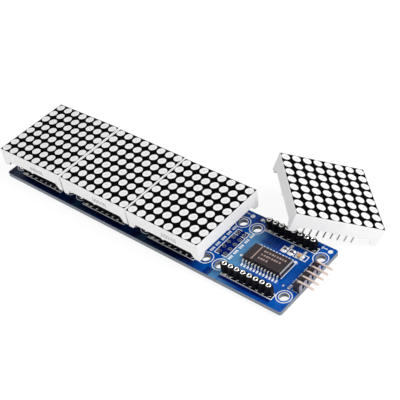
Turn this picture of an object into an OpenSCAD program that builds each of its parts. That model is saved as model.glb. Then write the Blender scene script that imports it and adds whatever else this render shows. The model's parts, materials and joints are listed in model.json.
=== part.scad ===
// Row of square dot-matrix light displays on one driver board.
// Three displays stand in their sockets and the fourth is unplugged and leans
// on the empty place. X runs along the board, Y across it and Z up. The origin
// is the centre of the board's underside.

/* [Board] */
// Width of the board
board_w = 32; // [31:0.1:36]
// Thickness of the board
board_t = 1.6; // [1.2:0.1:2]
// Radius of the board's four corners
corner_r = 0.9; // [0.3:0.1:2.2]
// Diameter of the mounting holes
hole_d = 3.2; // [2.4:0.1:3.4]
// Distance from a mounting hole's centre to the end of its cell
hole_inset = 3; // [2.7:0.1:3.3]
// Distance across the board between mounting holes
hole_gap = 20; // [18:0.1:20.4]
// Diameter of the plated holes that link one cell to the next
link_d = 1; // [0.8:0.05:1.2]
// Distance from the end of a cell to its row of link holes
link_inset = 1.27; // [1.2:0.01:1.4]

/* [Displays] */
// Side of a display's square front
face_w = 31.7; // [30:0.1:36]
// Gap between the fronts of neighbouring displays
display_gap = 0.3; // [0.2:0.05:1]
// Depth of the side walls below the front
wall_depth = 5.2; // [5:0.1:6]
// Depth of the corner feet below the front
foot_depth = 7.3; // [6.6:0.1:7.8]
// Width of a corner foot at its tip
foot_w = 1.9; // [1.4:0.1:2.4]
// Run of the slope from a foot's tip up to the wall's edge
foot_slope = 1.4; // [0.8:0.1:2]
// Width of the nub in the middle of each wall's edge
nub_w = 1.6; // [1:0.1:2.2]
// Height of that nub
nub_h = 0.45; // [0.2:0.05:0.8]
// Inward lean of the walls over the depth of a foot
draft = 0.2; // [0.1:0.05:0.3]
// Diameter of a light dot at the front
dot_d = 3.15; // [2.6:0.05:3.3]
// Diameter of a light well at its back
well_d = 1.9; // [1.2:0.1:2.4]
// Thickness of the black face sheet
sheet_t = 0.15; // [0.1:0.05:0.3]
// White rim left around the face sheet
sheet_rim = 0.15; // [0.1:0.05:0.2]
// Wall thickness around the potted back
shell_t = 1.1; // [0.8:0.1:1.4]
// Thickness of the circuit board inside a display
circuit_t = 0.8; // [0.6:0.1:1]
// Thickness of the resin that closes the back
resin_t = 0.9; // [0.7:0.1:1.1]
// Side of a light-emitting die
die_w = 0.35; // [0.2:0.05:0.5]
// Height of a die
die_h = 0.2; // [0.1:0.05:0.25]
// Room for the die under its light pipe
die_room = 0.3; // [0.28:0.02:0.5]
// Diameter of the display's pins
pin_d = 0.5; // [0.4:0.05:0.55]
// Depth of the pins' tips below the front
pin_reach = 10.5; // [9.8:0.1:10.8]

/* [Sockets] */
// Distance between neighbouring contacts
contact_pitch = 2.54; // [2.5:0.01:2.6]
// Distance across the board between the two rows of contacts
row_gap = 24; // [23.6:0.1:24.4]
// Diameter of the round lobe around each contact
lobe_d = 2.44; // [2.2:0.02:2.5]
// Width of the web that joins the lobes
web_w = 1.5; // [1.2:0.1:2]
// Height of a socket's body
socket_h = 3.5; // [3.2:0.1:3.8]
// Gap left between the board and a socket's body
standoff = 1; // [0.7:0.1:1.2]
// Height of a contact's rim above the body
rim_h = 0.35; // [0.2:0.05:0.5]
// Diameter of a contact's rim
rim_d = 1.75; // [1.65:0.05:1.9]
// Diameter of the shoulder on which a contact stands on the board
shoulder_d = 1.2; // [1:0.05:1.6]
// Diameter of a contact's sleeve inside the body
sleeve_d = 1.4; // [1.35:0.05:1.5]
// Diameter of the hole that takes a pin
contact_bore = 1; // [0.95:0.01:1.05]
// Widening of that hole at its mouth
mouth = 0.15; // [0.05:0.01:0.16]
// Thickness of metal below that hole, above the board
contact_floor = 0.55; // [0.4:0.05:0.9]
// Diameter of a contact's tail
tail_d = 0.5; // [0.4:0.05:0.6]
// Length of the tails below the board
tail_l = 1.3; // [1:0.1:1.6]

/* [Drivers] */
// Length of a driver chip's body
chip_l = 15.4; // [14.8:0.1:15.8]
// Width of the body at its middle
chip_w = 7.5; // [7:0.1:7.8]
// Thickness of the body
chip_t = 2.35; // [2:0.05:2.6]
// Gap between the board and the body
chip_gap = 0.2; // [0.1:0.05:0.3]
// Inward lean of the body's sides from its middle to its top
chip_draft = 0.28; // [0.1:0.02:0.35]
// Overall width across the leads' feet
lead_span = 11; // [10.3:0.1:11.4]
// Distance between leads
lead_pitch = 1.27; // [1.25:0.01:1.28]
// Width of a lead
lead_w = 0.45; // [0.3:0.05:0.6]
// Thickness of a lead
lead_t = 0.25; // [0.2:0.01:0.3]
// Length of the level part of a lead beside the body
lead_shelf = 0.55; // [0.4:0.05:0.65]
// Length of the flat foot of a lead
lead_foot = 0.8; // [0.6:0.05:1]
// Diameter of the dimple that marks the first lead
dimple_d = 1; // [0.6:0.1:1.4]
// Depth of that dimple
dimple_h = 0.12; // [0.05:0.01:0.2]
// Distance from the body's ends to the dimple's edge
dimple_inset = 0.9; // [0.6:0.1:1.2]
// Place of the chips across the board, from its centre line
chip_y = -1; // [-1.2:0.05:0]

/* [Small parts] */
// Length of a chip resistor
res_l = 1.7; // [1.4:0.1:1.9]
// Width of a chip resistor
res_w = 0.95; // [0.8:0.05:1.1]
// Height of a chip resistor
res_h = 0.5; // [0.4:0.05:0.6]
// Length of a chip capacitor
cap_l = 2.1; // [1.8:0.1:2.2]
// Width of a chip capacitor
cap_w = 1.3; // [1:0.05:1.4]
// Height of a chip capacitor
cap_h = 0.8; // [0.6:0.05:1]
// Length of the metal ends on the resistors and capacitors
end_l = 0.4; // [0.3:0.05:0.5]

/* [Header] */
// Side and height of one block of the pin header
block_w = 2.54; // [2.4:0.02:2.54]
// Chamfer on the upright corners of a block
block_bevel = 0.5; // [0.3:0.05:0.6]
// Thickness of a header pin
header_pin = 0.6; // [0.5:0.02:0.7]
// Length over which a pin's tip tapers
header_tip = 0.5; // [0.2:0.1:1]
// Thickness left at that tip
header_tip_w = 0.3; // [0.2:0.02:0.4]
// Height of the level part of the pins above the board
header_rise = 3.85; // [3.7:0.05:4.2]
// Inside radius of the pins' bend
header_bend = 0.6; // [0.4:0.05:0.9]
// Reach of the pins past the end of the board
header_reach = 5.2; // [4.5:0.1:8]
// Fall of the pins below level, in degrees
header_droop = 4; // [0:0.5:6]

/* [Fits] */
// Clearance around pieces that are set into others
fit = 0.02; // [0.01:0.005:0.04]
// Clearance around pins and tails in their drilled holes
drill_fit = 0.2; // [0.1:0.01:0.25]
// Height of a fitted display's walls above the contacts
under_gap = 1.8; // [1.5:0.1:1.9]
// Gap left where the loose display touches its contact
touch = 0.04; // [0.02:0.01:0.1]
// Diameter of the solder round a tail at the board
solder_d = 1.9; // [1.5:0.1:2]
// Height of that solder
solder_h = 0.8; // [0.6:0.1:1]
// Thickness of the solder at its lower end
solder_lip = 0.12; // [0.08:0.02:0.2]

/* [Loose display] */
// Turn of the loose display about the vertical, in degrees
loose_turn = 46.2; // [40:0.1:50]
// Which contact of the far socket its first pin stands on, counted from 0
loose_contact = 5; // [5:1:6]

/* [Hidden] */
// Heights to which the fitted displays are pushed home, and their tilts
seat_lift = [0, 0.18, -0.18];
seat_tilt = [-1.9, 0, 0];
// Depth below the contacts' rims about which a fitted display tilts
seat_pivot = 1.5;
// Place on the contact's rim where the loose display's first pin stands
rim_rest = [0.5, 0.15];
$fn = 48;
CELLS = 4;
FITTED = 3;
DOTS = 8;
PINS = 8;
LINKS = 5;
LEADS = 12;

// Each display takes a cell of the board as long as itself and one gap, and its
// dots share that length, so that they run on from display to display
cell_l = face_w + display_gap;
board_l = CELLS * cell_l;
dot_pitch = cell_l / DOTS;
rows = [-row_gap / 2, row_gap / 2];
row_names = ["near", "far"];
contact_xs = [for (i = [0:PINS - 1]) (i - (PINS - 1) / 2) * contact_pitch];
link_ys = [for (i = [0:LINKS - 1]) (i - (LINKS - 1) / 2) * contact_pitch];
dot_places = [for (i = [0:DOTS - 1]) (i - (DOTS - 1) / 2) * dot_pitch];
// Contacts, from their tails to their rims
body_z = board_t + standoff;
rim_z = body_z + socket_h;
contact_top = rim_z + rim_h;
// Displays: everything inside one is measured down from its front
front_z = contact_top + under_gap + wall_depth;
sheet_w = face_w - 2 * sheet_rim;
pocket_w = face_w - 2 * draft - 2 * shell_t;
pocket_depth = circuit_t + resin_t;
well_back = wall_depth - pocket_depth;
tip_w = face_w / 2 - draft;
circuit_w = pocket_w - 2 * fit;
// Loose display: its first pin stands on a contact's rim, and it leans over
// until its outer feet or its last pins meet the table
first_pin = contact_xs[PINS - 1] - pin_d / 2;
foot_arm = [tip_w + first_pin, foot_depth - pin_reach];
rise = contact_top + touch + tail_l;
feet_tilt = asin(rise / norm(foot_arm)) - atan2(foot_arm[1], foot_arm[0]);
pins_tilt = asin(rise / (2 * contact_xs[PINS - 1]));
loose_tilt = min(feet_tilt, pins_tilt);
loose_z = contact_top + touch - sin(loose_tilt) * first_pin + cos(loose_tilt) * pin_reach;
tip_out = contact_xs[0] * cos(loose_tilt) - pin_reach * sin(loose_tilt);
loose_x = cell_x(CELLS) + contact_xs[loose_contact] + rim_rest[0]
    - tip_out * cos(loose_turn) - row_gap / 2 * sin(loose_turn);
loose_y = rows[1] + rim_rest[1] - tip_out * sin(loose_turn) + row_gap / 2 * cos(loose_turn);
// Driver chips
chip_mid = board_t + chip_gap + chip_t / 2;
// Header
header_x = board_l / 2 - link_inset;
// Chip resistors and capacitors of one cell: centres from the cell's centre.
// The resistors stand across the board and the capacitor lies along it
resistor_places = [[0.8, 7.1], [3.5, 7.1]];
capacitor_places = [[6.8, 7]];
resistor_turn = 90;
capacitor_turn = 0;

SINGLE_NODES = ["board", "header_block", "header_pins", "resistors", "capacitors",
    "chip_ends", "solder_joints"];
DISPLAY_PARTS = ["housing", "face_sheet", "light_pipes", "circuit", "dice", "resin", "pins"];

function cell_x(k) = (k - 0.5) * cell_l - board_l / 2;

// ---- Board ----

module board_outline() {
    x = board_l / 2 - corner_r;
    y = board_w / 2 - corner_r;
    for (sx = [-1, 1], sy = [-1, 1]) translate([sx * x, sy * y]) circle(corner_r);
    square([board_l, 2 * y], center = true);
    square([2 * x, board_w], center = true);
}

module mounting_holes() {
    for (k = [1:CELLS], side = [-1, 1], row = [-1, 1])
        translate([cell_x(k) + side * (cell_l / 2 - hole_inset), row * hole_gap / 2])
            circle(d = hole_d);
}

module link_holes() {
    for (k = [1:CELLS], side = [-1, 1], y = link_ys)
        translate([cell_x(k) + side * (cell_l / 2 - link_inset), y]) circle(d = link_d);
}

module socket_holes() {
    for (k = [1:CELLS], x = contact_xs, y = rows)
        translate([cell_x(k) + x, y]) circle(d = tail_d + 2 * drill_fit);
}

module board() {
    color("mediumblue") linear_extrude(board_t) difference() {
        board_outline();
        mounting_holes();
        link_holes();
        socket_holes();
    }
}

// ---- One display, its front at the origin and facing up ----

// Side view of the housing: leaning walls, a foot at each end and a nub in the middle
module housing_side() {
    lean = draft / foot_depth;
    foot_in = tip_w - foot_w;
    slope_in = foot_in - foot_slope;
    polygon([
        [-face_w / 2, 0], [-tip_w, -foot_depth], [-foot_in, -foot_depth],
        [-slope_in, -wall_depth], [-nub_w / 2, -wall_depth],
        [-nub_w / 2 + nub_h, -wall_depth - nub_h], [nub_w / 2 - nub_h, -wall_depth - nub_h],
        [nub_w / 2, -wall_depth], [slope_in, -wall_depth],
        [foot_in, -foot_depth], [tip_w, -foot_depth], [face_w / 2, 0]
    ]);
}

module across(width) {
    rotate([90, 0, 0]) linear_extrude(width, center = true) children();
}

module at_dots() {
    for (x = dot_places, y = dot_places) translate([x, y, 0]) children();
}

// Cone from the front to the back of a light well, `gap` inside its wall
module light_cone(gap, from, to) {
    slope = (dot_d - well_d) / 2 / well_back;
    translate([0, 0, -to]) cylinder(
        h = to - from,
        r1 = dot_d / 2 - slope * to - gap,
        r2 = dot_d / 2 - slope * from - gap
    );
}

module housing() {
    color("white") difference() {
        intersection() {
            across(2 * face_w) housing_side();
            rotate([0, 0, 90]) across(2 * face_w) housing_side();
        }
        at_dots() light_cone(0, 0, well_back);
        translate([0, 0, -sheet_t]) linear_extrude(2 * sheet_t) square(sheet_w + 2 * fit, center = true);
        translate([0, 0, -well_back - foot_depth])
            linear_extrude(foot_depth) square(pocket_w, center = true);
    }
}

module face_sheet() {
    color("black") translate([0, 0, -sheet_t]) linear_extrude(sheet_t) difference() {
        square(sheet_w, center = true);
        at_dots() circle(d = dot_d);
    }
}

module light_pipes() {
    color("ghostwhite") at_dots() light_cone(fit, 0, well_back - die_room);
}

module pin_places() {
    for (x = contact_xs, y = rows) translate([x, y, 0]) children();
}

module inner_plate(depth, thickness, hole_gap_d) {
    translate([0, 0, -depth - thickness]) linear_extrude(thickness) difference() {
        square(circuit_w, center = true);
        pin_places() circle(d = pin_d + hole_gap_d);
    }
}

module circuit() {
    color("darkseagreen") inner_plate(well_back, circuit_t, 2 * fit);
}

module resin() {
    color("gainsboro") inner_plate(well_back + circuit_t, resin_t, 2 * fit);
}

module dice() {
    color("tomato") at_dots() translate([-die_w / 2, -die_w / 2, -well_back])
        cube([die_w, die_w, die_h]);
}

module display_pins() {
    color("silver") pin_places() translate([0, 0, -pin_reach])
        cylinder(h = pin_reach - well_back, d = pin_d);
}

// Puts a display in its place: plugged in, or leaning on the empty sockets
module at_display(k) {
    if (k <= FITTED) {
        pivot = front_z - contact_top + seat_pivot;
        translate([cell_x(k), 0, front_z + seat_lift[k - 1] - pivot])
            rotate([0, seat_tilt[k - 1], 0]) translate([0, 0, pivot]) children();
    } else {
        translate([loose_x, loose_y, loose_z])
            rotate([0, loose_tilt, loose_turn]) children();
    }
}

module display_part(part) {
    if (part == "housing") housing();
    if (part == "face_sheet") face_sheet();
    if (part == "light_pipes") light_pipes();
    if (part == "circuit") circuit();
    if (part == "dice") dice();
    if (part == "resin") resin();
    if (part == "pins") display_pins();
}

// ---- Sockets ----

module socket_outline() {
    for (x = contact_xs) translate([x, 0]) circle(d = lobe_d);
    square([PINS * contact_pitch, web_w], center = true);
}

module socket(k, row) {
    color("dimgray") translate([cell_x(k), rows[row], body_z])
        linear_extrude(socket_h) difference() {
            socket_outline();
            for (x = contact_xs) translate([x, 0]) circle(d = sleeve_d + 2 * fit);
        }
}

// Section of a turned contact: tail, shoulder, sleeve and rim round a blind hole
module contact_section() {
    bore_r = contact_bore / 2;
    bore_end = board_t + contact_floor;
    polygon([
        [0, -tail_l], [tail_d / 2, -tail_l], [tail_d / 2, board_t], [shoulder_d / 2, board_t],
        [shoulder_d / 2, body_z], [sleeve_d / 2, body_z], [sleeve_d / 2, rim_z], [rim_d / 2, rim_z],
        [rim_d / 2, contact_top - rim_h / 3], [rim_d / 2 - rim_h / 3, contact_top],
        [bore_r + mouth, contact_top], [bore_r, contact_top - mouth], [bore_r, bore_end],
        [0, bore_end]
    ]);
}

module contacts(k, row) {
    color("lightgray") for (x = contact_xs)
        translate([cell_x(k) + x, rows[row], 0]) rotate_extrude() contact_section();
}

// ---- Driver chips ----

// End view of a moulded chip body, which leans in above and below the leads
module chip_side(length) {
    half = length / 2;
    inner = half - chip_draft;
    band = lead_t / 2;
    polygon([
        [-half, band], [-inner, chip_t / 2], [inner, chip_t / 2], [half, band],
        [half, -band], [inner, -chip_t / 2], [-inner, -chip_t / 2], [-half, -band]
    ]);
}

module driver_body(k) {
    to_dimple = [chip_l / 2, chip_w / 2] - (dimple_inset + dimple_d / 2) * [1, 1];
    color("dimgray") translate([cell_x(k), chip_y, chip_mid]) difference() {
        intersection() {
            across(chip_w) chip_side(chip_l);
            rotate([0, 0, 90]) across(chip_l) chip_side(chip_w);
        }
        translate([-to_dimple[0], -to_dimple[1], chip_t / 2 - dimple_h])
            cylinder(h = 2 * dimple_h, d = dimple_d);
    }
}

// Side view of a gull-wing lead, from the chip's middle out and down to its foot
module lead_side() {
    inner = chip_w / 2;
    outer = lead_span / 2;
    top = chip_mid + lead_t / 2;
    heel = outer - lead_foot;
    bevel = lead_t / 2;
    knee = inner + lead_shelf;
    polygon([
        [inner, top - lead_t], [inner, top], [knee, top], [knee + bevel, top - bevel],
        [heel + bevel, board_t + lead_t], [outer, board_t + lead_t], [outer, board_t],
        [heel, board_t], [heel - bevel, board_t + bevel], [knee - bevel, top - lead_t]
    ]);
}

module driver_leads(k) {
    color("silver") for (i = [0:LEADS - 1], side = [-1, 1])
        translate([cell_x(k) + (i - (LEADS - 1) / 2) * lead_pitch, chip_y, 0])
            rotate([90, 0, side * 90]) linear_extrude(lead_w, center = true) lead_side();
}

// ---- Small parts ----

module small_body(length, width, height) {
    translate([-length / 2 + end_l, -width / 2, board_t])
        cube([length - 2 * end_l, width, height]);
}

module small_ends(length, width, height) {
    for (side = [-1, 1]) translate([side * (length - end_l) / 2, 0, board_t + height / 2])
        cube([end_l, width, height], center = true);
}

module at_small_parts(places, turn) {
    for (k = [1:CELLS], place = places)
        translate([cell_x(k) + place[0], place[1], 0]) rotate(turn) children();
}

module resistors() {
    color("black") at_small_parts(resistor_places, resistor_turn)
        small_body(res_l, res_w, res_h);
}

module capacitors() {
    color("tan") at_small_parts(capacitor_places, capacitor_turn)
        small_body(cap_l, cap_w, cap_h);
}

module chip_ends() {
    color("silver") {
        at_small_parts(resistor_places, resistor_turn) small_ends(res_l, res_w, res_h);
        at_small_parts(capacitor_places, capacitor_turn) small_ends(cap_l, cap_w, cap_h);
    }
}

// ---- Header ----

module block_outline() {
    half = block_w / 2;
    flat = half - block_bevel;
    polygon([
        [-half, -flat], [-flat, -half], [flat, -half], [half, -flat],
        [half, flat], [flat, half], [-flat, half], [-half, flat]
    ]);
}

module header_block() {
    color("black") translate([header_x, 0, board_t]) linear_extrude(block_w) difference() {
        for (y = link_ys) translate([0, y]) block_outline();
        for (y = link_ys) translate([0, y]) square(header_pin + 2 * fit, center = true);
    }
}

// Side view of a bent pin: an upright leg, a round bend and an outer leg
module header_pin_side() {
    half = header_pin / 2;
    bend_r = header_bend + half;
    bend_z = board_t + header_rise - bend_r;
    far = 3 * bend_r;
    end_a = 90 - header_droop;
    outer_l = header_reach + link_inset - bend_r;
    translate([-half, -tail_l]) square([header_pin, bend_z + tail_l]);
    translate([bend_r, bend_z]) {
        intersection() {
            difference() {
                circle(r = bend_r + half);
                circle(r = bend_r - half);
            }
            polygon([[0, 0], [-far, 0], [-far, far], far * [cos(end_a), sin(end_a)]]);
        }
        rotate(-header_droop) translate([0, bend_r]) polygon([
            [0, -half], [outer_l - header_tip, -half], [outer_l, -header_tip_w / 2],
            [outer_l, header_tip_w / 2], [outer_l - header_tip, half], [0, half]
        ]);
    }
}

module header_pins() {
    color("goldenrod") for (y = link_ys)
        translate([header_x, y, 0]) across(header_pin) header_pin_side();
}

// ---- Solder under the board ----

module solder_cone(hole_w) {
    difference() {
        translate([0, 0, -solder_h])
            cylinder(h = solder_h, r1 = hole_w / 2 + solder_lip, r2 = solder_d / 2);
        translate([0, 0, -2 * solder_h]) cylinder(h = 3 * solder_h, r = hole_w / 2 + fit);
    }
}

module solder_joints() {
    color("lightgray") {
        for (k = [1:CELLS], x = contact_xs, y = rows)
            translate([cell_x(k) + x, y, 0]) solder_cone(tail_d);
        for (y = link_ys) translate([header_x, y, 0]) solder_cone(header_pin * sqrt(2));
    }
}

board();
header_block();
header_pins();
resistors();
capacitors();
chip_ends();
solder_joints();
for (k = [1:CELLS]) {
    for (part = DISPLAY_PARTS)
        at_display(k) display_part(part);
    for (row = [0, 1]) {
        socket(k, row);
        contacts(k, row);
    }
    driver_body(k);
    driver_leads(k);
}
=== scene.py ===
"""Looks of a row of dot-matrix light displays on one driver board.

The packed model is loaded as a fixed frame. The operators below give each of its nodes a
procedural finish and add the thin work that sits on it: the white print and bare pads of
the board, the tracks under its mask, solder, contact clips and plain marks.
"""
import json
import math

import bmesh
import bpy
import numpy as np
from mathutils import Matrix, Vector


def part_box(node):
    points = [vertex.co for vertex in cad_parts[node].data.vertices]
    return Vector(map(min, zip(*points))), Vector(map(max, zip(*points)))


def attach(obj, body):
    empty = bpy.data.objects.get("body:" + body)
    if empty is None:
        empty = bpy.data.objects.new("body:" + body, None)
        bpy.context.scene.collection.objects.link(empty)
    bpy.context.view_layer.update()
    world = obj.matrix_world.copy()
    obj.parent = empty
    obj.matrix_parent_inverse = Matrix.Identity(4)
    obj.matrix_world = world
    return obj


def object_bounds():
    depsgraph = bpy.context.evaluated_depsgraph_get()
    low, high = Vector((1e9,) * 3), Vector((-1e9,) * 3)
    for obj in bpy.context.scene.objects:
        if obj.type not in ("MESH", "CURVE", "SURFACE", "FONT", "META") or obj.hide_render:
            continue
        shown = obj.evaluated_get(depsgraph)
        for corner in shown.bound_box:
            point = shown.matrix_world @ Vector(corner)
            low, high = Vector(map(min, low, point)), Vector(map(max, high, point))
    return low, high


bl_info = {
    "name": "Dot matrix module finish",
    "version": (1, 0, 0),
    "blender": (4, 5, 0),
    "location": "View3D > Sidebar > Dot matrix",
    "description": "Finishes a row of dot-matrix light displays on their driver board",
    "category": "Object",
}

MM = 0.001

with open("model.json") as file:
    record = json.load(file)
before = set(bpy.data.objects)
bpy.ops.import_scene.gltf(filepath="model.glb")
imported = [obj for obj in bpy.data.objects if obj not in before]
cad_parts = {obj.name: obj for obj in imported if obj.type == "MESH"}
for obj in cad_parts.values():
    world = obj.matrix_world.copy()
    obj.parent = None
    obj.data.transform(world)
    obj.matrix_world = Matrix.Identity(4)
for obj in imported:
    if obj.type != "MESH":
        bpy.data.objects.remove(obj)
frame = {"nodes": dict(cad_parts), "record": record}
NODES = frame["nodes"]
CAD_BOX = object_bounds()

CELLS = 4
DOTS = 8
PINS = 8
LINKS = 5
LEADS = 12
ROWS = ("near", "far")


# ---- Places, read from the frame ----

def middle(node):
    low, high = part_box(node)
    return (low + high) / 2


def mount(name):
    return next(m for m in frame["record"]["mounts"] if m["name"] == name)


def spread(count, pitch):
    return [(i - (count - 1) / 2) * pitch for i in range(count)]


BOARD_LOW, BOARD_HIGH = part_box("board")
BOARD_TOP = BOARD_HIGH.z
CELL = (BOARD_HIGH.x - BOARD_LOW.x) / CELLS
CELL_XS = spread(CELLS, CELL)
ROW_YS = [middle(f"contacts_1_{row}").y for row in ROWS]
RIMS_LOW, RIMS_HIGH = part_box("contacts_1_near")
RIM_D = RIMS_HIGH.y - RIMS_LOW.y
PITCH = (RIMS_HIGH.x - RIMS_LOW.x - RIM_D) / (PINS - 1)
CONTACT_XS = spread(PINS, PITCH)
LINK_YS = spread(LINKS, PITCH)
LINK_X = CELL / 2 - (mount("link_holes")["pos_m"][0] - BOARD_LOW.x)
MOUNT_HOLE_R = mount("corner_holes")["dims"]["hole_r_mm"] * MM
LINK_HOLE_R = 0.5 * MM
CONTACT_HOLE_R = 0.45 * MM
CHIP_Y = middle("driver_1_body").y
CHIP_LOW, CHIP_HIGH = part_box("driver_1_body")
LEADS_LOW, LEADS_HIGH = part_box("driver_1_leads")
LEAD_W = 0.45 * MM
LEAD_XS = spread(LEADS, (LEADS_HIGH.x - LEADS_LOW.x - LEAD_W) / (LEADS - 1))

# Small plated holes of a cell, from its middle.
VIAS = ((7.96 * MM, 3.88 * MM), (10.0 * MM, -6.3 * MM))

# How far a thin piece sinks into what carries it.
SINK = 0.02 * MM


def hole_places():
    """Centres of the mounting holes, from the four bolt patterns."""
    patterns = [m["dims"] for m in frame["record"]["mounts"] if m["kind"] == "bolt_pattern"]
    return [(side_x * dims["spacing_x_mm"] * MM / 2, side_y * dims["spacing_y_mm"] * MM / 2)
            for dims in patterns for side_x in (-1, 1) for side_y in (-1, 1)]


def islands(node):
    """Box of every set of joined faces of a node, as (low, high), in a fixed order."""
    mesh = bmesh.new()
    mesh.from_mesh(NODES[node].data)
    left = set(mesh.verts)
    boxes = []
    for first in mesh.verts:
        if first not in left:
            continue
        left.remove(first)
        queue, points = [first], []
        while queue:
            vert = queue.pop()
            points.append(vert.co.copy())
            linked = {edge.other_vert(vert) for edge in vert.link_edges} & left
            left -= linked
            queue += linked
        boxes.append((Vector(map(min, *points)), Vector(map(max, *points))))
    mesh.free()
    return sorted(boxes, key=lambda box: tuple(box[0]))


# A point of a sheet is a corner from this share of the furthest distance, and of a display's
# four sides, the one that points most this way is its X.
CORNER_SHARE = 0.999
RIGHTWARDS = Vector((1, 0.2, 0))


def display_place(k):
    """Matrix of display k: the middle of its front, X and Y along its dots, Z out of it."""
    points = np.array([v.co for v in NODES[f"display_{k}_face_sheet"].data.vertices])
    centre = Vector((points.max(0) + points.min(0)) / 2)
    offsets = points - points.mean(0)
    out = Vector(np.linalg.svd(offsets, full_matrices=False)[2][2])
    if out.z < 0:
        out.negate()
    away = np.linalg.norm(offsets - np.outer(offsets @ out, out), axis=1)
    corners = [Vector(point) for point in points[away > away.max() * CORNER_SHARE]]
    sides = sorted((c - corners[0] for c in corners), key=lambda side: side.length)
    side = next(s for s in sides if s.length > CELL / 2)
    along = (side - out * side.dot(out)).normalized()
    turns = [Matrix.Rotation(i * math.pi / 2, 3, out) @ along for i in range(4)]
    across = max(turns, key=lambda turn: turn.dot(RIGHTWARDS))
    place = Matrix((across, out.cross(across), out)).transposed().to_4x4()
    place.translation = centre + out * max((c - centre).dot(out) for c in corners)
    return place


# ---- Finishes ----

# Part of a noise's range that is stretched to the whole: sharper patches or softer drifts.
PATCHES = (0.35, 0.65)
DRIFTS = (0.3, 0.7)


def paint(name, **values):
    """New material whose Principled shader has these socket values."""
    material = bpy.data.materials.new(name)
    material.use_nodes = True
    for socket, value in values.items():
        shader_of(material).inputs[socket.replace("_", " ")].default_value = value
    return material


def add_node(material, kind, **values):
    """New node of the material; a value is an input's default or a node setting."""
    node = material.node_tree.nodes.new(kind)
    for key, value in values.items():
        if key in node.inputs:
            node.inputs[key].default_value = value
        else:
            setattr(node, key, value)
    return node


def join(material, source, target):
    material.node_tree.links.new(source, target)


def shader_of(material):
    return material.node_tree.nodes["Principled BSDF"]


def feed(material, sockets, values):
    """Sets each input to its value, or joins it to that output."""
    for socket, value in zip(sockets, values):
        if isinstance(value, bpy.types.NodeSocket):
            join(material, value, socket)
        else:
            socket.default_value = value


def calculate(material, operation, first, *others):
    """Takes an operation over numbers and outputs, from left to right."""
    for other in others:
        node = add_node(material, "ShaderNodeMath", operation=operation)
        feed(material, node.inputs, (first, other))
        first = node.outputs[0]
    return first


def vector_math(material, operation, vector, by=(0, 0, 0), output="Vector"):
    node = add_node(material, "ShaderNodeVectorMath", operation=operation)
    feed(material, node.inputs, (vector, by))
    return node.outputs[output]


def coordinates(material, holder=None):
    node = add_node(material, "ShaderNodeTexCoord")
    node.object = holder
    return node.outputs["Object"]


def noise(material, size, detail=3.0, holder=None, stretch=(1, 1, 1)):
    """Noise whose blotches are about `size` metres across."""
    place = coordinates(material, holder)
    if stretch != (1, 1, 1):
        place = vector_math(material, "MULTIPLY", place, stretch)
    node = add_node(material, "ShaderNodeTexNoise", Scale=1 / size, Detail=detail)
    join(material, place, node.inputs["Vector"])
    return node.outputs["Fac"]


def blend_colors(material, factor, first, second):
    node = add_node(material, "ShaderNodeMix", data_type="RGBA")
    feed(material, [node.inputs[i] for i in (0, 6, 7)], (factor, first, second))
    return node.outputs[2]


def span(material, value, low, high, to_low=0.0, to_high=1.0):
    """Maps value from low..high to to_low..to_high, clamped."""
    node = add_node(material, "ShaderNodeMapRange")
    feed(material, node.inputs, (value, low, high, to_low, to_high))
    return node.outputs["Result"]


def set_color(material, color):
    join(material, color, shader_of(material).inputs["Base Color"])


def mottle(material, size, first, second):
    """Base colour that drifts between two colours."""
    factor = span(material, noise(material, size), *PATCHES)
    set_color(material, blend_colors(material, factor, first, second))


def uneven_gloss(material, size, low, high):
    roughness = span(material, noise(material, size), *DRIFTS, low, high)
    join(material, roughness, shader_of(material).inputs["Roughness"])


def grain(material, size, depth):
    """Fine relief, `depth` metres high."""
    bump = add_node(material, "ShaderNodeBump", Distance=depth, Strength=1.0)
    join(material, noise(material, size, 4.0), bump.inputs["Height"])
    join(material, bump.outputs["Normal"], shader_of(material).inputs["Normal"])


def facing(material, axis):
    """How far the surface faces along an axis of the object."""
    normal = add_node(material, "ShaderNodeNewGeometry").outputs["Normal"]
    return vector_math(material, "DOT_PRODUCT", normal, axis, "Value")


def split_place(material):
    """The X, Y and Z of the surface's place on the object."""
    split = add_node(material, "ShaderNodeSeparateXYZ")
    join(material, coordinates(material), split.inputs[0])
    return split.outputs


def shade(color, factor):
    return (*[c * factor for c in color[:3]], 1.0)


def two_tone(name, patch, first, second, relief=None, **values):
    """Material in patches of a colour and another one, or that colour times a number.

    `patch` is the patches' width, and `relief` the width and depth of a fine grain.
    """
    material = paint(name, **values)
    if isinstance(second, float):
        second = shade(first, second)
    mottle(material, patch, first, second)
    if relief:
        grain(material, *relief)
    return material


def dress(material, pattern):
    """Gives a material to a node, or to the nodes of every cell where the name has a {}."""
    for name in {pattern.format(k) for k in range(1, CELLS + 1)}:
        data = NODES[name].data
        data.materials.clear()
        data.materials.append(material)


# ---- Meshes ----

def add_skin(mesh, rows, endless=False):
    """Closed skin over rows of as many points, with both ends capped or joined."""
    rows = [[mesh.verts.new(point) for point in row] for row in rows]
    if not endless:
        mesh.faces.new(rows[0][::-1])
        mesh.faces.new(rows[-1])
    for a, b in zip(rows, rows[1:] + rows[:endless]):
        for i in range(len(a)):
            mesh.faces.new((a[i - 1], a[i], b[i], b[i - 1]))


def at_height(outline, z):
    return [(*point, z) for point in outline]


def add_prism(mesh, outline, low, high, upper=None):
    """Prism over an outline of (x, y) points, or a mound with another one on top."""
    add_skin(mesh, [at_height(outline, low), at_height(upper or outline, high)])


def add_band(mesh, inner, outer, low, high):
    """Band between two outlines with the same number of points."""
    add_skin(mesh, [at_height(inner, low), at_height(outer, low),
                    at_height(outer, high), at_height(inner, high)], endless=True)


def circle(x, y, radius, steps=40):
    turns = [2 * math.pi * i / steps for i in range(steps)]
    return [(x + radius * math.cos(a), y + radius * math.sin(a)) for a in turns]


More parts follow.
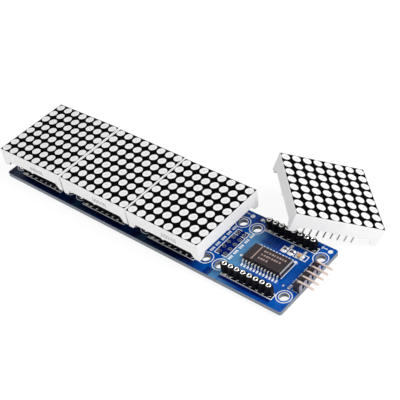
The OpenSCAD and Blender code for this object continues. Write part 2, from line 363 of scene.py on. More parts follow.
def add_ring(mesh, x, y, inner, outer, levels, steps=40):
    """Ring between two radii; `levels` are its underside and its top."""
    add_band(mesh, circle(x, y, inner, steps), circle(x, y, outer, steps), *levels)


def rectangle(x0, y0, x1, y1):
    return [(x0, y0), (x1, y0), (x1, y1), (x0, y1)]


def ribbon(points, width):
    """Right and left edge of an open line of constant width, with mitred corners."""
    left, right = [], []
    for i, point in enumerate(points):
        before = Vector(points[max(i - 1, 0)])
        after = Vector(points[min(i + 1, len(points) - 1)])
        here = Vector(point)
        ways = [w.normalized() for w in (here - before, after - here) if w.length > 0]
        way = sum(ways, Vector((0, 0))).normalized()
        reach = width / 2 / way.dot(ways[0])
        side = Vector((-way.y, way.x)) * reach
        left.append(tuple(here + side))
        right.append(tuple(here - side))
    return right, left


def add_ribbon(mesh, points, width, low, high):
    """Line of constant width."""
    add_skin(mesh, [[(*right, low), (*right, high), (*left, high), (*left, low)]
                    for right, left in zip(*ribbon(points, width))])


def add_object(name, data=None):
    item = bpy.data.objects.new(name, data)
    bpy.context.scene.collection.objects.link(item)
    return item


def add_solid(name, mesh, material):
    """Object from a bmesh, which is used up."""
    bmesh.ops.recalc_face_normals(mesh, faces=mesh.faces)
    data = bpy.data.meshes.new(name)
    mesh.to_mesh(data)
    mesh.free()
    data.materials.append(material)
    return add_object(name, data)


def make_piece(name, mesh, material, place=None, smooth=False):
    """Piece from a bmesh; it rides on the one body."""
    if place is not None:
        bmesh.ops.transform(mesh, matrix=place, verts=mesh.verts)
    piece = add_solid(name, mesh, material)
    if smooth:
        piece.data.shade_smooth()
    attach(piece, "root")


# ---- Settings ----

def number_prop(name, description, default, **kind):
    return bpy.props.FloatProperty(name=name, description=description, default=default, **kind)


def size_prop(name, description, metres):
    return number_prop(name, description, metres, subtype="DISTANCE", unit="LENGTH")


def angle_prop(name, description, degrees):
    return number_prop(name, description, math.radians(degrees), subtype="ANGLE")


def power_prop(name, description, watts):
    return number_prop(name, description, watts, unit="POWER")


def color_prop(name, description, default):
    return bpy.props.FloatVectorProperty(
        name=name, description=description, default=(*default, 1.0), size=4, subtype="COLOR",
        min=0.0, max=1.0)


class DisplaySettings(bpy.types.PropertyGroup):
    """Colours and marks of the displays"""

    shell: color_prop("Housing", "Colour of the white housings", (0.91, 0.90, 0.90))
    face: color_prop("Face", "Colour of the black face sheets", (0.0012, 0.0012, 0.0014))
    dot: color_prop("Dot", "Colour of a light dot's rim", (0.88, 0.88, 0.88))
    dot_middle: color_prop("Dot middle", "Colour of a light dot's middle", (0.77, 0.77, 0.775))
    dot_d: size_prop("Dot diameter", "Width over which a light dot changes colour", 3.15 * MM)
    resin: color_prop("Resin", "Colour of the poured back", (0.76, 0.75, 0.70))
    mark_h: size_prop("Mark height", "Height of the plain marks on a side wall", 1.9 * MM)
    mark_x: size_prop("Mark place", "Place of the marks along the wall", 3.0 * MM)
    mark_drop: size_prop("Mark drop", "Distance from the face down to the marks", 3.2 * MM)
    mark: color_prop("Mark", "Colour of those marks", (0.36, 0.36, 0.38))


class BoardSettings(bpy.types.PropertyGroup):
    """Colours, pads and tracks of the board"""

    mask: color_prop("Mask", "Colour of the blue mask over copper", (0.001, 0.096, 0.45))
    mask_deep: color_prop("Deep mask", "Colour of the mask where the copper is dull",
                          (0.002, 0.06, 0.33))
    # Lighter mask over the broad copper, and also a painted highlight there.
    mask_pour_and_highlight: color_prop("Pour", "Colour of the mask over the broad copper left of a driver",
                          (0.10, 0.29, 0.50))
    # Bare mask, which round the contact rows is also painted shade.
    mask_bare_and_shade: color_prop("Bare mask", "Colour of the mask where no copper lies under it",
                          (0.001, 0.010, 0.13))
    # Painted shadow and reflection: near-black mask under the sockets and under the plugged
    # displays.
    shade_under_parts: color_prop("Socket mask", "Colour of the mask under the sockets",
                           (0.001, 0.002, 0.014))
    copper_shine: number_prop("Copper shine", "Share of metallic reflection over copper", 0.12)
    edge: color_prop("Edge", "Colour of the cut glass fibre", (0.25, 0.28, 0.32))
    track_w: size_prop("Track width", "Width of the copper tracks", 0.25 * MM)
    track_h: size_prop("Track height", "Height of a track above the mask", 0.03 * MM)
    pad_h: size_prop("Pad height", "Height of the bare pads above the mask", 0.04 * MM)
    link_pad_d: size_prop("Link pad", "Diameter of the pads at the link holes", 1.45 * MM)
    pin_pad_d: size_prop("Pin pad", "Diameter of the pads at contacts and pins", 1.35 * MM)
    via_d: size_prop("Via", "Diameter of a small plated hole's pad", 0.7 * MM)


class PrintSettings(bpy.types.PropertyGroup):
    """White print on the board"""

    ink: color_prop("Ink", "Colour of the print", (0.86, 0.88, 0.88))
    height: size_prop("Height", "Height of the print above the mask", 0.03 * MM)
    line: size_prop("Line", "Width of the printed lines", 0.32 * MM)
    ring_d: size_prop("Ring", "Outer diameter of the rings round the mounting holes", 5.5 * MM)
    collar_d: size_prop("Collar", "Outer diameter of the bare collar at a hole", 3.7 * MM)
    dot_d: size_prop("Dot", "Diameter of the printed dots", 1.7 * MM)
    label_l: size_prop("Label length", "Length of a plain label bar", 2.2 * MM)
    label_w: size_prop("Label width", "Width of a plain label bar", 1.0 * MM)


class DriverSettings(bpy.types.PropertyGroup):
    """Finish of the driver chips"""

    body: color_prop("Body", "Colour of the moulded body", (0.023, 0.015, 0.018))
    # Painted highlight along the upper edge of the chip's right end.
    end: color_prop("End", "Colour of the rubbed upper edge of the body's end", (0.42, 0.42, 0.44))
    bar: color_prop("Bar", "Colour of the bar and marks on the body", (0.52, 0.38, 0.34))
    bar_w: size_prop("Bar width", "Width of the bar near the first lead", 0.42 * MM)
    bar_inset: size_prop("Bar inset", "Distance from the body's end to the bar", 3.1 * MM)
    fillet: size_prop("Solder", "Run of the solder round a lead's foot", 0.3 * MM)


class MetalSettings(bpy.types.PropertyGroup):
    """Colours of the metals and the black mouldings"""

    tin: color_prop("Tin", "Colour of tinned metal", (0.92, 0.915, 0.90))
    bright: color_prop("Bright tin", "Colour of bright tinned leads and ends", (0.98, 0.98, 0.97))
    gold: color_prop("Gold", "Colour of the pale gold header pins", (0.82, 0.66, 0.58))
    wire: color_prop("Wire", "Colour of the displays' pins", (0.45, 0.44, 0.43))
    # Bronze clips, darkened as painted shade deep in the contacts' bores.
    clip: color_prop("Clip", "Colour of the spring clips in the contacts", (0.22, 0.16, 0.10))
    black: color_prop("Black", "Colour of the black mouldings", (0.0025, 0.0025, 0.003))


class StageSettings(bpy.types.PropertyGroup):
    """Floor, light and camera"""

    floor: color_prop("Floor", "Colour of the floor", (0.90, 0.90, 0.90))
    floor_size: size_prop("Floor size", "Side of the floor", 6.0)
    sky: number_prop("Sky", "Strength of the even light from all round", 0.43)
    key: power_prop("Key", "Power of the high lamp at the header's side", 6.0)
    fill: power_prop("Fill", "Power of the low lamp in front", 0.61)
    key_size: size_prop("Lamp size", "Side of the key lamp, twice that of the fill lamp", 0.45)
    azimuth: angle_prop("Azimuth", "Turn of the view about the vertical", -45.64)
    elevation: angle_prop("Elevation", "Height of the view above level", 41.255)
    roll: angle_prop("Roll", "Lean of the camera", -9.177)
    distance: size_prop("Distance", "Distance from the camera to its aim", 0.35098)
    lens: number_prop("Lens", "Focal length in millimetres", 89.516)


GROUPS = {
    "displays": DisplaySettings, "board": BoardSettings, "ink": PrintSettings,
    "drivers": DriverSettings, "metals": MetalSettings, "stage": StageSettings,
}


class ModuleSettings(bpy.types.PropertyGroup):
    """All settings of the module"""

    __annotations__ = {name: bpy.props.PointerProperty(type=group)
                       for name, group in GROUPS.items()}


# ---- Materials of this object ----

# Shares of a dot's radius between which its colour changes.
DOT_BLEND = (0.25, 0.9)


def milky_dots(settings, k, holder):
    """Each dot is a little darker in its middle, over its die."""
    material = paint(f"milky_dots_{k}", Roughness=0.28, Specular_IOR_Level=0.4)
    per_metre = DOTS / CELL
    place = coordinates(material, holder)
    for operation, by in (("MULTIPLY", (per_metre, per_metre, 0)), ("FRACTION", (0, 0, 0)),
                          ("SUBTRACT", (0.5, 0.5, 0))):
        place = vector_math(material, operation, place, by)
    reach = vector_math(material, "LENGTH", place, output="Value")
    rim = settings.dot_d / 2 * per_metre
    from_middle = span(material, reach, *(share * rim for share in DOT_BLEND))
    ring = blend_colors(material, from_middle, settings.dot_middle, settings.dot)
    cloud = span(material, noise(material, 0.8 * MM, holder=holder), *DRIFTS, 0.0, 0.12)
    set_color(material, blend_colors(material, cloud, ring, settings.dot_middle))
    grain(material, 0.6 * MM, 0.01 * MM)
    return material


# Zones of the mask in each cell, as ramps that are multiplied: the distance that a ramp
# follows, its start and end in millimetres, and its value before and after. Distances are x
# and across on the board, along from a cell's left end, from_end from its nearer end and
# from_axis from the board's long middle line.
MASK_ZONES = {
    # pour: lighter mask over broad copper, and also a painted highlight.
    "pour": (("along", 1.4, 1.6, 0, 1), ("along", 7, 15, 1, 0),
             ("across", -12.5, -10, 0.85, 1), ("across", 8, 11, 1, 0)),
    "links": (("from_end", 2.4, 2.5, 1, 0), ("from_axis", 6.4, 6.5, 1, 0)),
    # contact_rows: bare mask, and also painted shade round the socket rows, fading towards the
    # board's edges.
    "contact_rows": (("from_axis", 10.6, 10.8, 0, 1), ("from_axis", 14.6, 14.9, 1, 0.25),
                     ("from_end", 5.4, 5.9, 0, 1)),
    "left_corners": (("from_axis", 12.6, 12.9, 0, 0.8), ("along", 2.5, 2.8, 1, 0)),
    "fan": (("across", 4.6, 6, 0, 0.85), ("along", 4.5, 9.5, 0, 1), ("along", 20, 26, 1, 0)),
    # This zone is painted shadow and a painted reflection of the black sockets on the mask under
    # them.
    "sockets": (("from_axis", 10.85, 10.95, 0, 0.9), ("from_axis", 13.15, 13.25, 1, 0),
                ("from_end", 5.7, 5.9, 0, 1)),
    # This zone is painted shadow under the overhang of the plugged displays, fading out towards
    # the loose display's cell.
    "display_shadow": (("x", 19, 33, 0.85, 0), ("from_axis", 10.6, 10.8, 0, 1)),
}
# Zones of bare mask on upward faces; the contact rows among them are also painted shade.
BARE_AND_SHADED_ON_TOP = ("contact_rows", "left_corners", "fan")
# A face turns from an edge into a flat side between these shares of facing up.
FLAT = (0.4, 0.6)


def mask_zones(material):
    """How much of each zone a place lies in."""
    x, across, _ = split_place(material)
    distances = {
        "x": x, "across": across,
        "along": calculate(material, "FLOORED_MODULO", x, CELL),
        "from_end": calculate(material, "PINGPONG", x, CELL / 2),
        "from_axis": calculate(material, "ABSOLUTE", across, 0.0),
    }
    return {zone: calculate(material, "MULTIPLY", *(
        span(material, distances[name], low * MM, high * MM, before, after)
        for name, low, high, before, after in ramps)) for zone, ramps in MASK_ZONES.items()}


def blue_mask(settings):
    """Glossy mask over copper or bare fibre, with a painted highlight and painted shade in places;
    cut glass fibre at the edges and in the holes.
    """
    material = paint("blue_mask", Specular_IOR_Level=0.08)
    zones = mask_zones(material)
    up = facing(material, (0, 0, 1))
    upper_side = span(material, up, *FLAT)
    flat = span(material, calculate(material, "ABSOLUTE", up, 0.0), *FLAT)
    worn = span(material, noise(material, 5 * MM), *PATCHES)
    copper = blend_colors(material, worn, settings.mask, settings.mask_deep)
    drift = span(material, noise(material, 2.5 * MM, stretch=(1, 0.4, 1)), *DRIFTS, 0.6, 1.0)
    # Painted highlight, together with the lighter mask over the broad copper.
    pour = calculate(material, "MULTIPLY", zones["pour"], drift)
    copper = blend_colors(material, pour, copper, settings.mask_pour_and_highlight)
    # Bare mask, and painted shade in the contact rows.
    bare = calculate(material, "MAXIMUM", *(zones[name] for name in BARE_AND_SHADED_ON_TOP))
    bare = calculate(material, "MULTIPLY", bare, upper_side)
    bare = calculate(material, "MAXIMUM", zones["links"], bare)
    blue = blend_colors(material, bare, copper, settings.mask_bare_and_shade)
    # Painted shadow and painted reflection under the sockets, and painted shadow under the plugged
    # displays.
    under = calculate(material, "MAXIMUM", zones["sockets"], zones["display_shadow"])
    under = calculate(material, "MULTIPLY", under, upper_side)
    blue = blend_colors(material, under, blue, settings.shade_under_parts)
    weave = span(material, noise(material, 0.7 * MM, stretch=(1, 1, 6)), *DRIFTS)
    fibre = blend_colors(material, weave, settings.edge, shade(settings.edge, 0.72))
    set_color(material, blend_colors(material, flat, fibre, blue))
    shine = span(material, bare, 0.0, 1.0, settings.copper_shine, settings.copper_shine / 4)
    shine = calculate(material, "MULTIPLY", flat, shine)
    join(material, shine, shader_of(material).inputs["Metallic"])
    uneven_gloss(material, 4 * MM, 0.14, 0.26)
    grain(material, 1.6 * MM, 0.006 * MM)
    return material


def covered_track(settings):
    """Mask over a single track."""
    material = two_tone("covered_track", 2 * MM, settings.mask, settings.mask_deep,
                        Metallic=0.2, Specular_IOR_Level=0.12)
    uneven_gloss(material, 2 * MM, 0.16, 0.3)
    return material


def bright_metal(name, color, rough):
    material = two_tone(name, 0.5 * MM, color, 0.86, (0.15 * MM, 0.004 * MM), Metallic=1.0)
    uneven_gloss(material, 0.3 * MM, rough * 0.7, rough * 1.4)
    return material


def black_moulding(settings):
    material = two_tone("black_moulding", 0.6 * MM, settings.black, 1.9,
                        (0.2 * MM, 0.006 * MM), Specular_IOR_Level=0.06)
    uneven_gloss(material, 0.8 * MM, 0.22, 0.42)
    return material


# Way that a chip's right end faces, and the heights where the painted highlight on its upper edge
# begins.
DRAFTED_END = (0.970, 0, 0.243)
HIGHLIGHT_HEIGHTS = (CHIP_HIGH.z - 0.75 * MM, CHIP_HIGH.z - 0.6 * MM)


def chip_moulding(settings):
    """Dark compound, with a painted highlight along the upper edge of the right end."""
    material = paint("chip_moulding", Roughness=0.5, Specular_IOR_Level=0.25)
    cloud = span(material, noise(material, 0.3 * MM), *PATCHES)
    body = blend_colors(material, cloud, settings.body, shade(settings.body, 1.35))
    # Painted highlight: the upper edge of the right end is painted pale, for light grazing it from
    # the right.
    on_end = span(material, facing(material, DRAFTED_END), 0.93, 0.98)
    upper = span(material, split_place(material)["Z"], *HIGHLIGHT_HEIGHTS)
    painted_highlight = calculate(material, "MULTIPLY", on_end, upper)
    set_color(material, blend_colors(material, painted_highlight, body, settings.end))
    grain(material, 0.07 * MM, 0.007 * MM)
    return material


# ---- Operators ----

class FinishOperator:
    """Shared settings of the operators"""

    bl_options = {"REGISTER", "UNDO"}

    @property
    def settings(self):
        return bpy.context.scene.dot_matrix


# Marks on a display's wall: their lengths are shares of the mark height.
WALL_MARKS = (1.0, 0.7, 1.0, 0.85, 1.0, 0.6, 1.0, 0.85, 1.0)
WALL_MARK_PITCH = 0.75 * MM
WALL_MARK_W = 0.32 * MM
WALL_MARK_H = 0.03 * MM
WALL_MARK_SINK = 0.05 * MM


class DOTMATRIX_OT_displays(FinishOperator, bpy.types.Operator):
    """Finish the four displays: housings, faces, light dots, resin and pins"""

    bl_idname = "dot_matrix.displays"
    bl_label = "Displays"

    def execute(self, context):
        settings = self.settings.displays
        shell = two_tone("moulded_white", 6 * MM, settings.shell, 0.96, (0.25 * MM, 0.004 * MM),
                         Roughness=0.42, Specular_IOR_Level=0.35)
        dress(shell, "display_{}_housing")
        face = two_tone("printed_face", 0.5 * MM, settings.face, 1.8, (0.12 * MM, 0.006 * MM),
                        Roughness=0.7, Specular_IOR_Level=0.01)
        dress(face, "display_{}_face_sheet")
        resin = two_tone("poured_resin", 3 * MM, settings.resin, 0.93, (4 * MM, 0.12 * MM),
                         Roughness=0.22, Specular_IOR_Level=0.5)
        dress(resin, "display_{}_resin")
        inner = two_tone("inner_board", 2 * MM, (0.20, 0.28, 0.16, 1.0), (0.26, 0.33, 0.20, 1.0),
                         Roughness=0.5)
        dress(inner, "display_{}_circuit")
        die = two_tone("light_die", 0.1 * MM, (0.55, 0.12, 0.08, 1.0), (0.40, 0.08, 0.06, 1.0),
                       Roughness=0.3)
        dress(die, "display_{}_dice")
        dress(bright_metal("pin_wire", self.settings.metals.wire, 0.35), "display_{}_pins")
        ink = two_tone("wall_ink", 0.4 * MM, settings.mark, 1.4, (0.1 * MM, 0.004 * MM),
                       Roughness=0.6)
        for k in range(1, CELLS + 1):
            holder = add_object(f"place_of_display_{k}")
            holder.matrix_world = display_place(k)
            holder.empty_display_size = 2 * MM
            dress(milky_dots(settings, k, holder), f"display_{k}_light_pipes")
            self.add_marks(settings, k, holder.matrix_world, ink)
        return {"FINISHED"}

    def add_marks(self, settings, k, place, ink):
        """Plain upright bars in place of the marking on a side wall.

        The loose display is turned the other way round, so its marks are on its far wall.
        """
        if k == CELLS:
            place = place @ Matrix.Rotation(math.pi, 4, "Z")
        wall = self.wall_place(settings, k, place)
        low, high = wall - WALL_MARK_SINK, wall + WALL_MARK_H
        mesh = bmesh.new()
        for x, length in zip(spread(len(WALL_MARKS), WALL_MARK_PITCH), WALL_MARKS):
            left = settings.mark_x + x - WALL_MARK_W / 2
            half = settings.mark_h * length / 2
            outline = rectangle(left, -settings.mark_drop - half,
                                left + WALL_MARK_W, -settings.mark_drop + half)
            add_prism(mesh, outline, low, high)
        turned = place @ Matrix.Rotation(math.pi / 2, 4, "X")
        make_piece(f"wall_marks_{k}", mesh, ink, turned)

    def wall_place(self, settings, k, place):
        """Distance of the drafted wall from the display's middle, at the marks' height."""
        inverse = place.inverted()
        points = [inverse @ v.co for v in NODES[f"display_{k}_housing"].data.vertices]
        front = min(p.y for p in points if p.z > -0.3 * MM)
        back = min(p.y for p in points if -7 * MM < p.z < -4 * MM)
        draft_run = 6 * MM
        return (front - back) * settings.mark_drop / draft_run - front


# Tracks: gap before a row of contacts, straight run at a near lead, and spread from there.
TRACK_STOP = 1.0 * MM
TRACK_STRAIGHT = 1.2 * MM
TRACK_SPREAD = 1.25


class DOTMATRIX_OT_board(FinishOperator, bpy.types.Operator):
    """Finish the board: mask, edges, tracks, bare pads and small plated holes"""

    bl_idname = "dot_matrix.board"
    bl_label = "Board"

    def execute(self, context):
        settings = self.settings.board
        dress(blue_mask(settings), "board")
        self.add_tracks(settings)
        self.add_pads(settings)
        return {"FINISHED"}

    def add_tracks(self, settings):
        """Tracks from the driver's leads to both sockets."""
        mesh = bmesh.new()
        near_row, far_row = ROW_YS
        low, high = BOARD_TOP - settings.track_h, BOARD_TOP + settings.track_h
        for cell_x in CELL_XS:
            for x in LEAD_XS:
                far = [(cell_x + x, LEADS_HIGH.y), (cell_x + x, far_row - TRACK_STOP)]
                near = [(cell_x + x, LEADS_LOW.y), (cell_x + x, LEADS_LOW.y - TRACK_STRAIGHT),
                        (cell_x + x * TRACK_SPREAD, near_row + TRACK_STOP)]
                add_ribbon(mesh, far, settings.track_w, low, high)
                add_ribbon(mesh, near, settings.track_w, low, high)
        make_piece("board_tracks", mesh, covered_track(settings))

    def add_pads(self, settings):
        """Bare tinned rings on both sides of the board."""
        mesh = bmesh.new()
        via_r = settings.via_d / 2
        rings = [(x, y, LINK_HOLE_R, settings.link_pad_d / 2, 40)
                 for x in (-LINK_X, LINK_X) for y in LINK_YS]
        rings += [(x, y, CONTACT_HOLE_R, settings.pin_pad_d / 2, 40)
                  for x in CONTACT_XS for y in ROW_YS]
        rings += [(x, y, via_r / 2, via_r, 20) for x, y in VIAS]
        for side in (BOARD_TOP, BOARD_LOW.z):
            levels = side - settings.pad_h, side + settings.pad_h
            for cell_x in CELL_XS:
                for x, y, inner, outer, steps in rings:
                    add_ring(mesh, cell_x + x, y, inner, outer, levels, steps)
        tin = bright_metal("bare_pads", self.settings.metals.tin, 0.35)
        make_piece("board_pads", mesh, tin)


# Print of one cell, in millimetres from its middle. Outlines are left, bottom, right, top.
PRINTED_DOT = (14, 14.15)
FIRST_LEAD_DOT = (-9.75, -2.8, 0.5)
PART_OUTLINES = ((-0.25, 5.95, 1.8, 8.3), (2.4, 5.95, 9.6, 8.3))
PART_DIVIDER = ((4.72, 5.95), (4.72, 8.3))
# From the middle of a row of contacts; the divider marks off the first one.
SOCKET_OUTLINE = (-10.15, -1.28, 10.3, 1.22)
SOCKET_DIVIDER = -7.55
# Lines along the ends of a chip: width, inset, top and bottom.
CHIP_LINE = (0.3, 0.1, 4.6, -4.4)
# Brackets: side, place of the line and of its arms' ends; then the arms' heights.
BRACKETS = ((1, 13.65, 15.5), (-1, 13.45, 15.35))
BRACKET_TOP, BRACKET_TICK, BRACKET_BOTTOM = 6.4, 3.95, -6.3
# Bars in a socket's outline: left end, length and width, and their drop from the row.
SOCKET_LABELS = ((-9.6, 1.5, 0.7), (-6.9, 0.7, 0.5), (-4.1, 0.5, 0.3), (4.1, 0.5, 0.3),
                 (6.6, 0.5, 0.3))
SOCKET_LABEL_DROP = 1.02
LINK_LABEL_X = 12.2
LINK_LABEL_YS = (6.2, 3.3, 0.35, -2.7, -5.6)
# Labels of the small parts: place, width and length.
PART_LABELS = ((1.95, 9.35, 1.0, 1.6), (7.3, 9.3, 1.0, 1.5))
# Single strokes: width and points.
STROKES = (
    (0.35, ((10.3, 14.5), (12.6, 14.5))),
    (0.25, ((10.9, 13.9), (10.3, 14.5), (10.9, 15.1))),
    (1.1, ((-14, 15), (-14, 13.8))),
    (0.35, ((-13.3, 14.6), (-12.7, 13.9))),
)
# Share of its pitch that each of a label's three short strokes fills.
LABEL_FILL = 0.76


class DOTMATRIX_OT_print(FinishOperator, bpy.types.Operator):
    """Print the board: brackets, rings, outlines, dots and plain label bars"""

    bl_idname = "dot_matrix.print"
    bl_label = "Board print"

    def execute(self, context):
        settings = self.settings.ink
        self.levels = BOARD_TOP - settings.height, BOARD_TOP + settings.height
        self.line = settings.line
        ink = two_tone("printed_ink", 0.35 * MM, settings.ink, 0.9, (0.08 * MM, 0.004 * MM),
                       Roughness=0.5, Specular_IOR_Level=0.3)
        for draw in (self.rings, self.outlines, self.brackets, self.labels):
            mesh = bmesh.new()
            draw(mesh)
            make_piece(f"print_{draw.__name__}", mesh, ink)
        self.add_collars()
        return {"FINISHED"}

    def path(self, mesh, cell_x, points, width=None):
        points = [(cell_x + x * MM, y * MM) for x, y in points]
        add_ribbon(mesh, points, width or self.line, *self.levels)

    def box(self, mesh, cell_x, *outline):
        """Rectangular line, its middle on the outline."""
        x0, y0, x1, y1 = (place * MM for place in outline)
        inner, outer = (rectangle(cell_x + x0 - out, y0 - out, cell_x + x1 + out, y1 + out)
                        for out in (-self.line / 2, self.line / 2))
        add_band(mesh, inner, outer, *self.levels)

    def add_collars(self):
        mesh = bmesh.new()
        for x, y in hole_places():
            add_ring(mesh, x, y, MOUNT_HOLE_R, self.settings.ink.collar_d / 2, self.levels)
        tin = bright_metal("bare_collars", self.settings.metals.tin, 0.35)
        make_piece("hole_collars", mesh, tin)

    def rings(self, mesh):
        """Rings round the mounting holes, and the printed dots."""
        settings = self.settings.ink
        outer = settings.ring_d / 2
        for x, y in hole_places():
            add_ring(mesh, x, y, outer - self.line, outer, self.levels, steps=56)
        x, y = PRINTED_DOT
        for cell_x in CELL_XS:
            dot = circle(cell_x + x * MM, y * MM, settings.dot_d / 2)
            add_prism(mesh, dot, *self.levels)

    def outlines(self, mesh):
        """Outlines of the sockets, the driver and the small parts."""
        left, bottom, right, top = SOCKET_OUTLINE
        width, inset, line_top, line_bottom = CHIP_LINE
        chip_end = (CHIP_HIGH.x - CELL_XS[0]) / MM - inset
        for cell_x in CELL_XS:
            for y in ROW_YS:
                y0, y1 = y / MM + bottom, y / MM + top
                self.box(mesh, cell_x, left, y0, right, y1)
                self.path(mesh, cell_x, [(SOCKET_DIVIDER, y0), (SOCKET_DIVIDER, y1)])
            for x in (-chip_end, chip_end):
                self.path(mesh, cell_x, [(x, line_top), (x, line_bottom)], width * MM)
            for outline in PART_OUTLINES:
                self.box(mesh, cell_x, *outline)
            self.path(mesh, cell_x, PART_DIVIDER)

    def brackets(self, mesh):
        """Brackets round the link holes, with a tick for the first one."""
        for cell_x in CELL_XS:
            for side, line_x, arm_x in BRACKETS:
                line_x, arm_x = side * line_x, side * arm_x
                self.path(mesh, cell_x, [(arm_x, BRACKET_TOP), (line_x, BRACKET_TOP),
                                         (line_x, BRACKET_BOTTOM), (arm_x, BRACKET_BOTTOM)])
                self.path(mesh, cell_x, [(line_x, BRACKET_TICK), (arm_x, BRACKET_TICK)])

    def labels(self, mesh):
        """Plain bars where the pins and parts are labelled."""
        settings = self.settings.ink
        for cell_x in CELL_XS:
            for y in ROW_YS:
                for left, length, width in SOCKET_LABELS:
                    x0, y0 = cell_x + left * MM, y - SOCKET_LABEL_DROP * MM
                    bar = rectangle(x0, y0, x0 + length * MM, y0 + width * MM)
                    add_prism(mesh, bar, *self.levels)
            for x in (-LINK_LABEL_X, LINK_LABEL_X):
                for y in LINK_LABEL_YS:
                    self.label(mesh, cell_x + x * MM, y * MM, settings.label_w, settings.label_l)
            for x, y, width, length in PART_LABELS:
                self.label(mesh, cell_x + x * MM, y * MM, width * MM, length * MM)
            for width, points in STROKES:
                self.path(mesh, cell_x, points, width * MM)
            x, y, radius = (place * MM for place in FIRST_LEAD_DOT)
            add_prism(mesh, circle(cell_x + x, y, radius), *self.levels)

    def label(self, mesh, x, y, width, length):
        """Three short strokes side by side, which stand for one label."""
        pitch = length / 3
        half_w, half_l = width / 2, pitch * LABEL_FILL / 2
        for middle_y in (y - pitch, y, y + pitch):
            stroke = rectangle(x - half_w, middle_y - half_l, x + half_w, middle_y + half_l)
            add_prism(mesh, stroke, *self.levels)


# Outline of a clip's finger, in millimetres: radius and depth below the contact's rim.
CLIP_OUTLINE = ((0.485, 0.8), (0.47, 1.3), (0.36, 2.4), (0.31, 2.4), (0.42, 1.3), (0.44, 0.8))
# Lines down each of its four fingers, as shares of a quarter turn.
FINGER_LINES = (0.06, 0.35, 0.65, 0.94)


class DOTMATRIX_OT_sockets(FinishOperator, bpy.types.Operator):
    """Finish the sockets and their contacts, and set the spring clips into them"""

    bl_idname = "dot_matrix.sockets"
    bl_label = "Sockets"

    def execute(self, context):
        metals = self.settings.metals
        black = black_moulding(metals)
        tin = bright_metal("turned_tin", metals.tin, 0.16)
        # The clips' dark colour is partly painted shade in the bore.
        gold = bright_metal("clip_metal", metals.clip, 0.25)
        for row in ROWS:
            dress(black, f"socket_{{}}_{row}")
            dress(tin, f"contacts_{{}}_{row}")
        mesh = bmesh.new()
        for y in ROW_YS:
            for x in CONTACT_XS:
                self.add_clip(mesh, CELL_XS[-1] + x, y)
        make_piece("contact_clips", mesh, gold, smooth=True)
        return {"FINISHED"}

    def add_clip(self, mesh, x, y):
        """Four fingers that lean in from the bore's wall, as one slotted cone."""
        for finger in range(4):
            turns = (math.pi / 2 * (finger + share) for share in FINGER_LINES)
            add_skin(mesh, [[(x + r * MM * math.cos(turn), y + r * MM * math.sin(turn),
                              RIMS_HIGH.z - depth * MM) for r, depth in CLIP_OUTLINE]
                            for turn in turns])


# Rows of dashes on a chip, in millimetres: place across it and number of dashes.
DASH_ROWS = ((1.9, 9), (0.2, 8), (-1.5, 4))
DASH_LENGTHS = (0.72, 0.5, 0.62)
DASH_START, DASH_PITCH, DASH_HALF_W = 1.9, 1.02, 0.35
CHIP_INK_H = 0.015 * MM
BAR_MARGIN = 0.5 * MM
# Solder round a lead's foot.
FOOT_LENGTH = 0.8 * MM
FOOT_SOLDER_SIDE = 0.12 * MM
FOOT_SOLDER_H = 0.14 * MM
FOOT_SOLDER_HEEL = 0.1 * MM
FOOT_SOLDER_TOE = 0.04 * MM


class DOTMATRIX_OT_drivers(FinishOperator, bpy.types.Operator):
    """Finish the driver chips: bodies, leads, solder, bar and plain marks"""

    bl_idname = "dot_matrix.drivers"
    bl_label = "Driver chips"

    def execute(self, context):
        settings = self.settings.drivers
        dress(chip_moulding(settings), "driver_{}_body")
        leads = bright_metal("tinned_leads", self.settings.metals.bright, 0.5)
        dress(leads, "driver_{}_leads")
        self.add_marks(settings)
        self.add_fillets(settings)
        return {"FINISHED"}

    def add_marks(self, settings):
        """Bar near the first lead, and rows of plain dashes in place of a marking."""
        ink = two_tone("chip_ink", 0.12 * MM, settings.bar, 0.6, (0.07 * MM, 0.005 * MM),
                       Roughness=0.55, Specular_IOR_Level=0.3)
        bars, dashes = bmesh.new(), bmesh.new()
        low, high = CHIP_HIGH.z - SINK, CHIP_HIGH.z + CHIP_INK_H
        half_w = (CHIP_HIGH.y - CHIP_LOW.y) / 2 - BAR_MARGIN
        for cell_x in CELL_XS:
            left = cell_x + CHIP_LOW.x - CELL_XS[0] + settings.bar_inset
            outline = rectangle(left, CHIP_Y - half_w, left + settings.bar_w, CHIP_Y + half_w)
            add_prism(bars, outline, low, high)
            for row, (y, count) in enumerate(DASH_ROWS):
                y0, y1 = (CHIP_Y + (y + side * DASH_HALF_W) * MM for side in (-1, 1))
                for i in range(count):
                    x = left + (DASH_START + DASH_PITCH * i) * MM
                    length = DASH_LENGTHS[(i + row) % len(DASH_LENGTHS)] * MM
                    add_prism(dashes, rectangle(x, y0, x + length, y1), low, high)
        make_piece("chip_bars", bars, ink)
        make_piece("chip_marks", dashes, ink)

    def add_fillets(self, settings):
        """Solder round the foot of every lead."""
        mesh = bmesh.new()
        for cell_x in CELL_XS:
            for x in LEAD_XS:
                left, right = cell_x + x - LEAD_W / 2, cell_x + x + LEAD_W / 2
                for side, tip in ((-1, LEADS_LOW.y), (1, LEADS_HIGH.y)):
                    heel = tip - side * FOOT_LENGTH
                    outer = rectangle(left - FOOT_SOLDER_SIDE, tip + side * settings.fillet,
                                      right + FOOT_SOLDER_SIDE, heel - side * FOOT_SOLDER_HEEL)
                    inner = rectangle(left, tip + side * FOOT_SOLDER_TOE, right, heel)
                    add_prism(mesh, outer, BOARD_TOP - SINK, BOARD_TOP + FOOT_SOLDER_H, inner)
        solder = bright_metal("lead_solder", self.settings.metals.bright, 0.45)
        make_piece("lead_solder", mesh, solder)


# Solder at a small part's end: its run outwards and sideways, and its share of the height.
END_SOLDER_RUN = 0.5 * MM
END_SOLDER_SIDE = 0.1 * MM
END_SOLDER_RISE = 0.75
# Two ends closer than this belong to one part.
PART_REACH = 3 * MM


